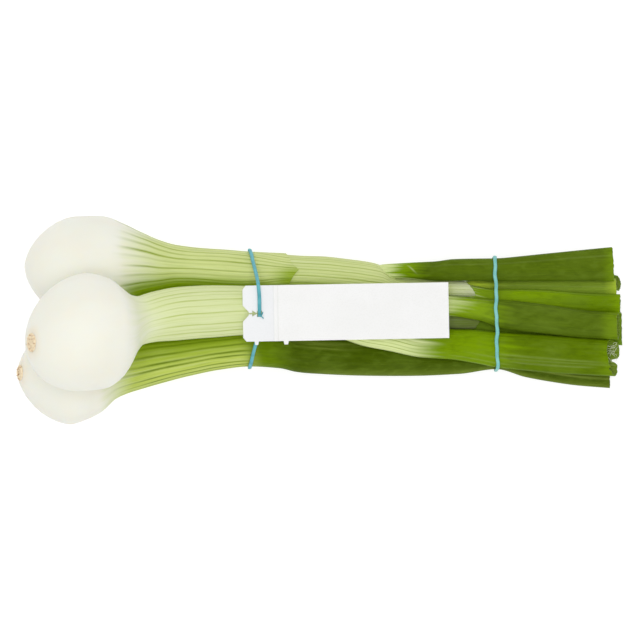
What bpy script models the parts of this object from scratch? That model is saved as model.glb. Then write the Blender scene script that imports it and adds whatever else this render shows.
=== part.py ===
"""A bunch of three large spring onions lying down, bulbs at -X and cut leaf ends at +X.

A course is a list of stations along +X, each (x, y, z, half width, half height) in millimetres.
"""

import math
from bisect import bisect_right
from random import Random

import bmesh
import bpy
import numpy as np
from mathutils import Matrix, Vector

MM = 0.001
GAP = 0.3
LEAF_WALL = 0.8
LEAF_BORE = 9.0
BULB_SIDES = 28
BULB_RINGS = 8
LEAF_SIDES = 16
RIB = 0.16
RING_SPACING = 11.0
LEAF_SPACING = 13.0
COLLAR_CLEAR = 7.0
BAND_WIDTH = 1.8
BAND_THICK = 1.1
SHEATH_STEP = 0.7
LABEL_LENGTH = 103.7
LABEL_HALF_HEIGHT = 13.9
LABEL_THICK = 0.6
LABEL_START = Vector((-38.3, 3.1, 51.4))
LABEL_SLOPE = -0.155
LABEL_TURN = 0.018
LABEL_DROP_Y = 3.1
BAND_1_X = -30.0
BAND_1_LOW_X = -35.4
BAND_2_X = 88.4
ROOT_DEPTH = 0.9
ROOT_STUB = 0.5

# Each bulb: its centre, root end, radius, the bow of its axis, how tapered its root end is, and
# the radius of its root plate.
BULBS = {
    "a": ((-120.3, 25.9, 25.5), (-145.6, 26.6, 19.0), 26.3, (0.0, 0.0, 7.0), 1.32, 4.9),
    "b": ((-115.5, -5.8, 75.0), (-140.9, -11.0, 87.4), 29.0, (0.0, 2.0, -1.9), 0.96, 4.7),
    "c": ((-125.2, -27.0, 24.6), (-149.8, -26.4, 32.0), 25.4, (0.0, 1.0, -3.6), 1.35, 3.9),
}

# Stems, from the bulb's shoulder to where the leaves part.
STEM_A = [
    (-107.0, 27.0, 25.3, 24.8, 24.8),
    (-99.0, 27.0, 24.8, 21.7, 21.7),
    (-89.5, 26.9, 24.0, 17.2, 17.2),
    (-81.5, 26.3, 23.1, 14.2, 14.2),
    (-72.0, 26.0, 22.2, 12.0, 12.0),
    (-49.0, 24.9, 20.9, 10.6, 10.6),
    (-36.0, 24.1, 20.5, 10.2, 10.2),
    (-15.5, 23.0, 19.8, 9.7, 9.7),
    (2.0, 22.3, 19.3, 8.9, 8.9),
    (15.0, 21.1, 18.8, 8.6, 8.6),
    (26.0, 19.8, 18.2, 8.3, 8.3),
    (30.0, 19.0, 17.8, 7.9, 7.8),
    (34.0, 17.4, 17.0, 5.6, 6.6),
    (38.0, 16.5, 16.0, 4.9, 5.8),
    (60.0, 15.6, 14.6, 4.6, 5.2),
    (71.0, 15.4, 14.0, 4.1, 5.2),
]
STEM_B = [
    (-106.0, -6.2, 71.2, 27.5, 27.5),
    (-101.5, -6.4, 69.2, 24.4, 24.4),
    (-97.0, -5.1, 67.0, 19.5, 19.5),
    (-93.0, -2.5, 65.0, 14.8, 14.8),
    (-88.5, -0.2, 62.5, 12.2, 12.2),
    (-81.0, 1.8, 58.0, 12.5, 12.5),
    (-70.0, 3.2, 51.7, 13.2, 13.2),
    (-55.0, 4.2, 44.0, 13.0, 13.0),
    (-36.0, 4.8, 36.4, 12.3, 12.3),
    (-15.0, 4.3, 33.0, 12.1, 12.1),
    (6.0, 2.7, 31.6, 12.0, 11.8),
]
STEM_C = [
    (-117.0, -25.9, 23.3, 24.1, 24.1),
    (-109.0, -24.9, 22.7, 20.9, 20.9),
    (-102.0, -23.1, 22.3, 16.3, 16.3),
    (-92.0, -21.6, 21.7, 13.8, 13.8),
    (-79.5, -19.0, 21.1, 12.8, 12.8),
    (-66.0, -17.0, 20.6, 11.3, 11.3),
    (-50.0, -14.6, 20.2, 10.4, 10.4),
    (-36.0, -13.3, 20.0, 10.1, 10.1),
    (-29.0, -13.2, 19.9, 9.8, 9.8),
]

LEAVES = {
    "onion_a_leaf_1": [
        (36.2, 25.4, 20.5, 2.1, 2.1),
        (39.0, 25.0, 20.6, 2.9, 2.7),
        (44.0, 24.9, 20.8, 3.8, 3.1),
        (50.0, 24.6, 20.9, 4.5, 3.4),
        (57.0, 24.5, 20.9, 4.9, 3.8),
        (67.0, 25.1, 20.8, 5.5, 4.2),
        (88.5, 25.3, 19.8, 5.8, 4.3),
        (100.0, 25.7, 19.4, 6.3, 4.2),
        (120.0, 26.8, 18.4, 7.3, 4.1),
        (147.7, 27.9, 16.5, 8.2, 3.8),
    ],
    "onion_a_leaf_2": [
        (71.8, 15.9, 12.0, 3.3, 2.4),
        (80.0, 16.6, 11.3, 3.7, 2.7),
        (88.5, 16.8, 11.0, 3.9, 2.9),
        (105.0, 16.6, 10.6, 4.1, 2.9),
        (125.0, 16.2, 10.4, 4.6, 2.9),
        (149.2, 16.0, 10.2, 4.9, 2.8),
    ],
    "onion_a_leaf_3": [
        (72.6, 14.7, 17.5, 3.0, 2.3),
        (80.0, 12.4, 16.6, 4.3, 2.5),
        (88.5, 10.6, 15.4, 5.0, 2.6),
        (108.0, 10.0, 15.0, 5.2, 2.6),
        (125.0, 8.9, 14.8, 5.2, 2.6),
        (137.0, 8.0, 14.8, 5.2, 2.6),
        (150.7, 7.7, 15.2, 5.3, 2.6),
    ],
    "onion_a_leaf_4": [
        (36.4, 24.8, 12.9, 2.3, 2.4),
        (44.0, 25.2, 12.3, 3.6, 3.2),
        (88.5, 25.6, 10.6, 4.5, 3.6),
        (105.0, 25.6, 7.6, 4.4, 3.2),
        (120.0, 25.0, 3.6, 4.1, 2.9),
        (132.0, 22.6, 2.7, 4.0, 2.7),
        (149.2, 18.9, 2.5, 3.8, 2.7),
    ],
    "onion_b_leaf_1": [
        (8.2, 8.0, 34.2, 5.6, 6.8),
        (35.0, 8.0, 29.4, 5.8, 5.6),
        (64.5, 7.0, 24.6, 5.0, 4.8),
        (80.5, 5.2, 22.3, 5.6, 4.6),
        (90.0, 3.1, 21.6, 7.1, 4.6),
        (100.0, 1.9, 21.6, 7.4, 4.4),
        (117.0, -0.1, 21.8, 7.2, 4.2),
        (130.0, -1.9, 22.0, 6.9, 4.2),
        (146.0, -2.9, 22.2, 6.7, 4.2),
    ],
    "onion_b_leaf_2": [
        (7.6, -3.2, 32.4, 5.0, 7.2),
        (23.0, -6.0, 30.0, 7.2, 6.2),
        (34.5, -8.0, 28.2, 7.4, 5.8),
        (50.0, -11.0, 25.6, 7.5, 5.4),
        (65.0, -12.1, 23.8, 7.5, 5.1),
        (76.8, -13.2, 22.4, 8.2, 5.0),
        (88.5, -14.9, 21.6, 8.7, 5.0),
        (103.5, -16.2, 21.4, 9.1, 4.8),
        (121.0, -17.5, 21.2, 9.3, 4.6),
        (144.6, -18.9, 21.0, 9.1, 4.5),
    ],
    "onion_b_leaf_3": [
        (7.4, 3.0, 22.8, 6.2, 2.8),
        (35.0, 1.6, 17.0, 7.0, 3.6),
        (64.5, -0.4, 12.8, 7.0, 3.9),
        (88.5, -1.6, 10.9, 7.0, 4.0),
        (115.0, -3.2, 11.2, 7.8, 3.9),
        (152.0, -4.5, 11.2, 8.3, 3.8),
    ],
    "onion_c_leaf_1": [
        (-28.0, -13.9, 21.5, 8.6, 6.3),
        (-24.0, -14.0, 21.3, 9.1, 6.5),
        (-16.0, -15.4, 20.7, 10.3, 6.6),
        (-5.5, -16.4, 19.6, 10.4, 6.6),
        (20.0, -17.6, 17.0, 10.4, 6.2),
        (50.0, -18.0, 14.4, 10.1, 5.4),
        (70.0, -18.0, 12.8, 9.2, 4.7),
        (88.5, -17.1, 11.0, 7.7, 4.1),
        (103.5, -21.3, 9.2, 7.5, 4.2),
        (117.0, -24.0, 6.4, 7.3, 4.2),
        (130.0, -25.7, 4.4, 7.4, 4.2),
        (146.0, -26.8, 4.0, 7.6, 4.1),
    ],
    "onion_c_leaf_2": [
        (-28.4, -10.4, 12.4, 4.6, 2.2),
        (0.0, -8.6, 9.8, 5.2, 3.0),
        (40.0, -8.2, 6.6, 5.2, 3.0),
        (88.5, -9.5, 4.9, 4.6, 2.3),
        (115.0, -11.6, 3.8, 4.6, 3.0),
        (147.0, -13.2, 4.2, 4.6, 3.3),
    ],
}

# Which stem the first band passes, where along it, and the outer sheath's extra radius there.
STEM_BAND_STOPS = [
    ("a", -37.5, SHEATH_STEP),
    ("a", -33.0, SHEATH_STEP),
    ("b", -33.5, 0.0),
    ("b", -28.5, 0.0),
    ("c", -37.0, 0.0),
    ("c", -33.0, 0.0),
]

# How much further each leaf's cut end reaches at its +Y side and at its underside.
CUT_REACH = {
    "onion_a_leaf_1": (-1.2, 0.0),
    "onion_a_leaf_4": (0.0, 3.4),
    "onion_b_leaf_1": (0.0, 4.2),
    "onion_b_leaf_2": (-1.6, 6.2),
    "onion_c_leaf_1": (-0.4, 0.8),
}

WHITE = ((0.86, 0.87, 0.76, 1.0), 0.35)
ROOT_BROWN = ((0.62, 0.38, 0.18, 1.0), 0.8)
DARK_GREEN = ((0.09, 0.16, 0.01, 1.0), 0.4)
MID_GREEN = ((0.15, 0.26, 0.03, 1.0), 0.4)
BRIGHT_GREEN = ((0.18, 0.33, 0.01, 1.0), 0.4)
TEAL = ((0.06, 0.38, 0.5, 1.0), 0.5)
LIGHT_TEAL = ((0.16, 0.52, 0.6, 1.0), 0.5)
CARD = ((0.9, 0.9, 0.89, 1.0), 0.6)
LEAF_COLOURS = {
    "onion_a_leaf_1": DARK_GREEN,
    "onion_a_leaf_2": MID_GREEN,
    "onion_a_leaf_3": BRIGHT_GREEN,
    "onion_a_leaf_4": DARK_GREEN,
    "onion_b_leaf_1": MID_GREEN,
    "onion_b_leaf_2": BRIGHT_GREEN,
    "onion_b_leaf_3": MID_GREEN,
    "onion_c_leaf_1": DARK_GREEN,
    "onion_c_leaf_2": MID_GREEN,
}


class Course:
    """A smooth line through stations, with its half width and half height, that never swings past them.

    Its sections lean with the line's rise and fall, and stand square to X as seen from above.
    """

    def __init__(self, stations):
        self.rows = np.array(stations, float)
        self.x = self.rows[:, 0].tolist()
        steps = np.diff(self.rows, axis=0) / np.diff(self.rows[:, :1], axis=0)
        before, after = steps[:-1], steps[1:]
        same_way = before * after > 0
        total = np.where(same_way, before + after, 1.0)
        inner = np.where(same_way, 2 * before * after / total, 0.0)
        self.slopes = np.vstack([steps[:1], inner, steps[-1:]])

    def at(self, x):
        """Centre, side, up, half width and half height where the line passes x."""
        i = min(max(bisect_right(self.x, x) - 1, 0), len(self.x) - 2)
        step = self.x[i + 1] - self.x[i]
        t = (x - self.x[i]) / step
        start, end = self.rows[i], self.rows[i + 1]
        m0, m1 = self.slopes[i] * step, self.slopes[i + 1] * step
        row = (
            (2 * t**3 - 3 * t**2 + 1) * start
            + (t**3 - 2 * t**2 + t) * m0
            + (3 * t**2 - 2 * t**3) * end
            + (t**3 - t**2) * m1
        )
        slope = (
            (6 * t**2 - 6 * t) * start
            + (3 * t**2 - 4 * t + 1) * m0
            + (6 * t - 6 * t**2) * end
            + (3 * t**2 - 2 * t) * m1
        )
        up = Vector((-slope[2], 0.0, step)).normalized()
        return Vector(row[:3]), Vector((0.0, 1.0, 0.0)), up, row[3], row[4]


def material(name, look):
    """A plain surface with a colour and a roughness."""
    made = bpy.data.materials.new(name)
    made.use_nodes = True
    shader = made.node_tree.nodes["Principled BSDF"]
    shader.inputs["Base Color"].default_value = look[0]
    shader.inputs["Roughness"].default_value = look[1]
    shader.inputs["Metallic"].default_value = 0.0
    return made


def finish(name, mesh, look):
    """A named object in metres from a bmesh in millimetres, with its normals outward."""
    bmesh.ops.recalc_face_normals(mesh, faces=mesh.faces)
    data = bpy.data.meshes.new(name)
    mesh.to_mesh(data)
    mesh.free()
    data.transform(Matrix.Scale(MM, 4))
    data.shade_smooth()
    data.set_sharp_from_angle(angle=math.radians(40))
    data.materials.append(material(name + "_surface", look))
    made = bpy.data.objects.new(name, data)
    bpy.context.scene.collection.objects.link(made)
    return made


def ring(mesh, course, x, sides, lean=None, grow=0.0, rib=0.0):
    """One ring of points round the course; lean(angle) shifts a point along it."""
    points = []
    for i in range(sides):
        angle = math.tau * i / sides
        shift = lean(angle) if lean else 0.0
        centre, side, up, wide, high = course.at(x + shift)
        ridge = rib if i % 2 else 0.0
        across = side * (wide + grow + ridge) * math.cos(angle)
        point = centre + across + up * (high + grow + ridge) * math.sin(angle)
        point.z = max(point.z, 0.0)
        points.append(mesh.verts.new(point))
    return points


def skin(mesh, rings):
    """Faces between each ring and the next, with both ends closed."""
    for near, far in zip(rings, rings[1:]):
        for i in range(len(near)):
            j = (i + 1) % len(near)
            mesh.faces.new((near[i], near[j], far[j], far[i]))
    mesh.faces.new(rings[0])
    mesh.faces.new(rings[-1])


def bulb_stations(bulb):
    """Stations from the root end to the bulb's widest place, on a quarter circle or a tapered one."""
    centre, root, radius, bow, taper, plate = bulb
    centre, root, bow = Vector(centre), Vector(root), Vector(bow)
    start = math.asin((plate / radius) ** (1 / taper))
    rows = []
    for angle in np.linspace(start, math.pi / 2, BULB_RINGS):
        share = math.cos(angle) / math.cos(start)
        place = centre + (root - centre) * share + bow * share * (1 - share)
        half = radius * math.sin(angle) ** taper
        rows.append((*place, half, half))
    return rows


def split_stations(places, longest):
    """The places along X, with extra ones in the long stretches."""
    split = [places[0]]
    for start, end in zip(places, places[1:]):
        count = math.ceil((end - start) / longest)
        split += np.linspace(start, end, count + 1)[1:].tolist()
    return split


def collar_lean(tip_angle, length):
    """A sheath's end that is furthest out at tip_angle and falls back on the other side."""
    return lambda angle: length * (math.cos(angle - tip_angle) - 1) / 2


def onion(name, bulb, stem, collar=None):
    """A bulb that runs on into its stem. A collar is (x, step, lean): the outer sheath's end."""
    cap = bulb_stations(bulb)
    course = Course(cap + stem)
    mesh = bmesh.new()
    rings = [ring(mesh, course, row[0], BULB_SIDES) for row in cap]
    neck = stem[3][0]
    collar_x, step, lean = collar or (math.inf, 0.0, None)
    for x in split_stations([row[0] for row in stem], RING_SPACING):
        rib = RIB if x > neck else 0.0
        if abs(x - collar_x) > COLLAR_CLEAR:
            grow = step if neck < x < collar_x else 0.0
            rings.append(ring(mesh, course, x, BULB_SIDES, None, grow, rib))
        elif lean:
            rings.append(ring(mesh, course, collar_x - 0.1, BULB_SIDES, lean, step, rib))
            rings.append(ring(mesh, course, collar_x + 0.1, BULB_SIDES, lean, 0.0, rib))
            lean = None
    skin(mesh, rings)
    return finish(name, mesh, WHITE)


def root_plate(name, bulb, seed):
    """A trimmed root plate: a low round pad whose top is raised in short root stubs."""
    cap = bulb_stations(bulb)
    root, side, up, size, _ = Course(cap).at(cap[0][0])
    out = up.cross(side)
    turn = Matrix((up, side, out)).transposed().to_4x4()
    place = Matrix.Translation(root + out * GAP) @ turn
    draw = Random(seed)
    mesh = bmesh.new()
    sides, rings = 18, []
    for k, share in enumerate((1.0, 1.0, 0.94, 0.72, 0.48, 0.24)):
        points = []
        for i in range(sides):
            angle = math.tau * i / sides
            stub = draw.uniform(0.1, ROOT_STUB) * ((i + k) % 2) if k > 1 else 0.0
            height = (ROOT_DEPTH * (1.2 - 0.5 * share) + stub) if k else 0.0
            radius = size * share
            local = Vector((radius * math.cos(angle), radius * math.sin(angle), height))
            points.append(mesh.verts.new(place @ local))
        rings.append(points)
    skin(mesh, rings)
    return finish(name, mesh, ROOT_BROWN)


def leaf(name, stations, reach, look):
    """A hollow leaf from its base to its cut end, where the tube is open."""
    course = Course(stations)
    end = stations[-1][0]
    mesh = bmesh.new()
    places = split_stations([row[0] for row in stations[:-1]] + [end - 2.0], LEAF_SPACING)
    rings = [ring(mesh, course, x, LEAF_SIDES) for x in places]

    def lean(angle):
        return (reach[0] * (1 + math.cos(angle)) + reach[1] * (1 - math.sin(angle))) / 2

    rings.append(ring(mesh, course, end, LEAF_SIDES, lean))
    rings.append(ring(mesh, course, end, LEAF_SIDES, lean, -LEAF_WALL))
    rings.append(ring(mesh, course, end - LEAF_BORE, LEAF_SIDES, None, -LEAF_WALL))
    skin(mesh, rings)
    return finish(name, mesh, look)


def section(course, x):
    """(y, z, half width, half height) of a course at x."""
    centre, _, _, wide, high = course.at(x)
    return centre.y, centre.z, wide, high


def hull(points):
    """The convex outline of (y, z) points, anticlockwise."""
    points = sorted(set(points))

    def chain(ordered):
        kept = []
        for p in ordered:
            while len(kept) > 1:
                (ay, az), (by, bz) = kept[-2], kept[-1]
                if (by - ay) * (p[1] - az) - (bz - az) * (p[0] - ay) > 1e-9:
                    break
                kept.pop()
            kept.append(p)
        return kept

    return chain(points)[:-1] + chain(reversed(points))[:-1]


def around(sections, clear):
    """Points round each section, clear of it by the given distance."""
    points = []
    for y, z, wide, high in sections:
        for i in range(32):
            angle = math.tau * i / 32
            point = y + (wide + clear) * math.cos(angle), z + (high + clear) * math.sin(angle)
            points.append((round(point[0], 4), round(point[1], 4)))
    return points


def split_long(loop, longest):
    """The closed loop with extra points on its long sides."""
    points = []
    for (ay, az), (by, bz) in zip(loop, loop[1:] + loop[:1]):
        count = max(1, math.ceil(math.dist((ay, az), (by, bz)) / longest))
        points += [(ay + (by - ay) * i / count, az + (bz - az) * i / count) for i in range(count)]
    return points


def rubber_band(name, loop, x_at, look):
    """A rubber band of even section along a closed (y, z) loop; x_at gives its place along X."""
    mesh = bmesh.new()
    rings = []
    count = len(loop)
    for i, (y, z) in enumerate(loop):
        (ay, az), (by, bz) = loop[i - 1], loop[(i + 1) % count]
        along = Vector((0, by - ay, bz - az)).normalized()
        out = Vector((0, along.z, -along.y))
        points = []
        for k in range(8):
            angle = math.tau * (k + 0.5) / 8
            off = out * math.sin(angle) * BAND_THICK / 2
            off.x = math.cos(angle) * BAND_WIDTH / 2
            points.append(mesh.verts.new(Vector((x_at(y, z), y, z)) + off))
        rings.append(points)
    for near, far in zip(rings, rings[1:] + rings[:1]):
        for i in range(8):
            j = (i + 1) % 8
            mesh.faces.new((near[i], near[j], far[j], far[i]))
    return finish(name, mesh, look)


def label_matrix():
    """From the label's own plane, x along it and y across it, to its place on the stems."""
    slope = Matrix.Rotation(-math.atan(LABEL_SLOPE), 4, "Y")
    return Matrix.Translation(LABEL_START) @ Matrix.Rotation(LABEL_TURN, 4, "Z") @ slope


def label_outline():
    """The card's edge: two lobes with a slit and a slot at the left, and two nibs below."""
    half = LABEL_HALF_HEIGHT
    arrow = [(3.0, 0.35), (4.7, 0.35), (4.7, 1.5), (6.6, 0.35), (7.05, 0.35)]
    notch = [(0.0, -4.0), (2.9, -0.9)] + [(x, -y) for x, y in arrow]
    notch += [(7.05, -1.7), (9.6, -1.7), (9.6, 1.3), (7.05, 1.3)]
    notch += arrow[::-1] + [(2.9, 0.9), (0.0, 4.0)]
    top = [(0.0, half - 2), (1.6, half), (LABEL_LENGTH, half), (LABEL_LENGTH, -half)]
    nibs = [(22.8, -half), (22.4, -half - 1.7), (20.6, -half - 1.7), (20.2, -half)]
    nibs += [(7.8, -half), (7.4, -half - 1.7), (6.0, -half - 1.7), (5.6, -half)]
    return notch + top + nibs + [(1.6, -half), (0.0, 2 - half)]


def label(name):
    """The blank card, standing clear above the middle stem."""
    mesh = bmesh.new()
    face = mesh.faces.new([mesh.verts.new((x, y, 0)) for x, y in label_outline()])
    grown = bmesh.ops.extrude_face_region(mesh, geom=[face])
    lifted = [item for item in grown["geom"] if isinstance(item, bmesh.types.BMVert)]
    bmesh.ops.translate(mesh, verts=lifted, vec=(0, 0, LABEL_THICK))
    bmesh.ops.triangulate(mesh, faces=mesh.faces)
    bmesh.ops.transform(mesh, matrix=label_matrix(), verts=mesh.verts)
    return finish(name, mesh, CARD)


def first_band_loop(courses):
    """Round the three stems, over the label's upper lobe and down through its slot."""
    clear = GAP + BAND_THICK / 2
    sections = []
    for name, x, sheath in STEM_BAND_STOPS:
        y, z, wide, high = section(courses[name], x)
        sections.append((y, z, wide + sheath, high + sheath))
    under = LABEL_START.z + LABEL_SLOPE * (BAND_1_X - LABEL_START.x)
    over = under + LABEL_THICK + clear + 0.3
    lobe = [(LABEL_DROP_Y + LABEL_HALF_HEIGHT + 0.6, over), (LABEL_DROP_Y + 1.4, over)]
    plain = hull(around(sections, clear + 0.1))
    loop = hull(around(sections, clear + 0.1) + lobe)
    turn = loop.index(lobe[1])
    loop = loop[turn + 1 :] + loop[: turn + 1]
    low = under - clear
    bend = [(LABEL_DROP_Y + 0.55, over - 0.5), (LABEL_DROP_Y + 0.1, over - 1.5)]
    bend += [(LABEL_DROP_Y - 0.4, low + 0.4), (LABEL_DROP_Y - 1.2, low)]
    middle = courses["b"].at(BAND_1_X)[0].z
    held = [p for p in plain if loop[0][0] < p[0] < bend[-1][0] - 1.5 and p[1] > middle]
    return split_long(loop + bend + sorted(held, reverse=True), 8)


def first_band_x(y, z):
    """The first band bows towards +X over the top of the bunch."""
    bow = math.exp(-((abs(y - 6) / 23) ** 3)) * min(max((z - 20) / 8, 0), 1)
    return BAND_1_LOW_X + (BAND_1_X - BAND_1_LOW_X) * bow


def second_band_x(y, z):
    """The second band runs slightly askew."""
    return BAND_2_X - 0.02 * y


def main():
    for old in list(bpy.data.objects):
        bpy.data.objects.remove(old)
    collar = (-10.7, SHEATH_STEP, collar_lean(math.radians(72), 8.0))
    onion("onion_a_bulb", BULBS["a"], STEM_A, collar)
    onion("onion_b_bulb", BULBS["b"], STEM_B)
    onion("onion_c_bulb", BULBS["c"], STEM_C)
    for seed, (letter, bulb) in enumerate(BULBS.items()):
        root_plate(f"onion_{letter}_roots", bulb, seed)
    for name, stations in LEAVES.items():
        leaf(name, stations, CUT_REACH.get(name, (0.0, 0.0)), LEAF_COLOURS[name])
    stems = {"a": Course(STEM_A), "b": Course(STEM_B), "c": Course(STEM_C)}
    rubber_band("stem_band", first_band_loop(stems), first_band_x, TEAL)
    edges = (BAND_2_X - BAND_WIDTH, BAND_2_X + BAND_WIDTH)
    cut = [section(Course(stations), x) for stations in LEAVES.values() for x in edges]
    loop = split_long(hull(around(cut, GAP + BAND_THICK / 2)), 8)
    rubber_band("leaf_band", loop, second_band_x, LIGHT_TEAL)
    label("card_label")


main()
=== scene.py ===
"""The looks of a bunch of three large spring onions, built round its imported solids.

Lengths are in millimetres until a mesh is made, and colours are sRGB values from 0 to 255.
A course is a list of stations along +X, each (x, y, z, half width, half height).
A mesh holds shares of colour at each point, which its material reads; CHANNELS names those of
the plant's skin.
"""

import math
from random import Random

import bmesh
import bpy
import numpy as np
from mathutils import Matrix, Vector


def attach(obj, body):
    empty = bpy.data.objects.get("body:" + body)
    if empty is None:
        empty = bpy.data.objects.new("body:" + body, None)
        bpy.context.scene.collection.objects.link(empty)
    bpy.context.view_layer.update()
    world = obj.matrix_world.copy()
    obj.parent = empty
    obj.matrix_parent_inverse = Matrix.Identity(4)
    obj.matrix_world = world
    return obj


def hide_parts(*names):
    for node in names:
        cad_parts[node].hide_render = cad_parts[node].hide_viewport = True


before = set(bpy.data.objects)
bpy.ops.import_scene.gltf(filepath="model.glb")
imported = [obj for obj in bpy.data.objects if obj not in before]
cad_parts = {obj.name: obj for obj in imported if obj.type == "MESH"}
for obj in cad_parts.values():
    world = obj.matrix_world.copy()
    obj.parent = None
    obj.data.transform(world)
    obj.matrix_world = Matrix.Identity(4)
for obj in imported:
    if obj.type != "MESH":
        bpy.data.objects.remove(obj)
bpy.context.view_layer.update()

MM = 0.001
TOUCH = 0.12
BAND_WIDTH = 1.8
BAND_THICK = 1.1
BAND_SPACING = 0.9
SHEATH_STEP = 0.7
LEAF_WALL = 0.7
LABEL_LENGTH = 103.7
LABEL_HALF_HEIGHT = 13.9
LABEL_THICK = 0.6
LABEL_START = Vector((-38.3, 3.1, 51.4))
LABEL_SLOPE = -0.155
LABEL_TURN = 0.018
LABEL_DROP_Y = 3.1
BAND_1_X = -30.0
BAND_1_LOW_X = -35.4
BAND_2_X = 88.4

# Each bulb: its centre, root end, radius, the bow of its axis, how tapered its root end is, and
# the radius of its root plate.
BULBS = {
    "a": ((-120.3, 25.9, 25.5), (-145.6, 26.6, 19), 26.2, (0, 0, 7), 1.42, 4.9),
    "b": ((-115.5, -5.8, 75), (-140.9, -11, 87.4), 29, (0, 2, -1.9), 0.96, 4.7),
    "c": ((-125.2, -27, 24.6), (-149.8, -26.4, 32), 25.4, (0, 1, -3.6), 1.35, 3.9),
}

STEM_A = [
    (-107, 27, 25.3, 24.8, 24.8), (-99, 27, 24.8, 21.7, 21.7), (-89.5, 26.9, 24, 17.2, 17.2),
    (-81.5, 26.3, 23.1, 14.2, 14.2), (-72, 25.9, 22.2, 11.8, 11.8), (-49, 24.7, 20.9, 10.2, 10.2),
    (-36, 23.9, 20.5, 9.9, 9.9), (-15.5, 23, 19.8, 9.7, 9.7), (2, 22.3, 19.3, 8.9, 8.9),
    (15, 21.1, 18.8, 8.6, 8.6), (26, 19.8, 18.2, 8.3, 8.3), (30, 19, 17.8, 7.9, 7.8),
    (34, 17.4, 17, 5.6, 6.6), (38, 16.5, 16, 4.9, 5.8), (60, 15.6, 14.6, 4.6, 5.2),
    (71, 15.4, 14, 4.1, 5.2),
]
STEM_B = [
    (-106, -6.2, 71.2, 27.5, 27.5), (-101.5, -6.4, 69.2, 24.4, 24.4), (-97, -5.1, 67, 19.5, 19.5),
    (-93, -2.5, 65, 14.8, 14.8), (-88.5, -0.2, 62.5, 12.2, 12.2), (-81, 1.8, 58, 12.5, 12.5),
    (-70, 3.2, 51.7, 13.2, 13.2), (-55, 4.2, 44, 13, 13), (-36, 4.8, 36.4, 12.3, 12.3),
    (-15, 4.3, 33, 12.1, 12.1), (6, 2.7, 31.6, 12, 11.8),
]
STEM_C = [
    (-117, -25.9, 23.3, 24.1, 24.1), (-109, -24.9, 22.7, 20.9, 20.9), (-102, -23.1, 22.3, 16.3, 16.3),
    (-92, -21.6, 21.7, 13.8, 13.8), (-79.5, -19, 21.1, 12.8, 12.8), (-66, -17, 20.6, 11.3, 11.3),
    (-50, -14.6, 20.2, 10.4, 10.4), (-36, -13.3, 20, 10.1, 10.1), (-29, -13.2, 19.9, 9.8, 9.8),
]
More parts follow.
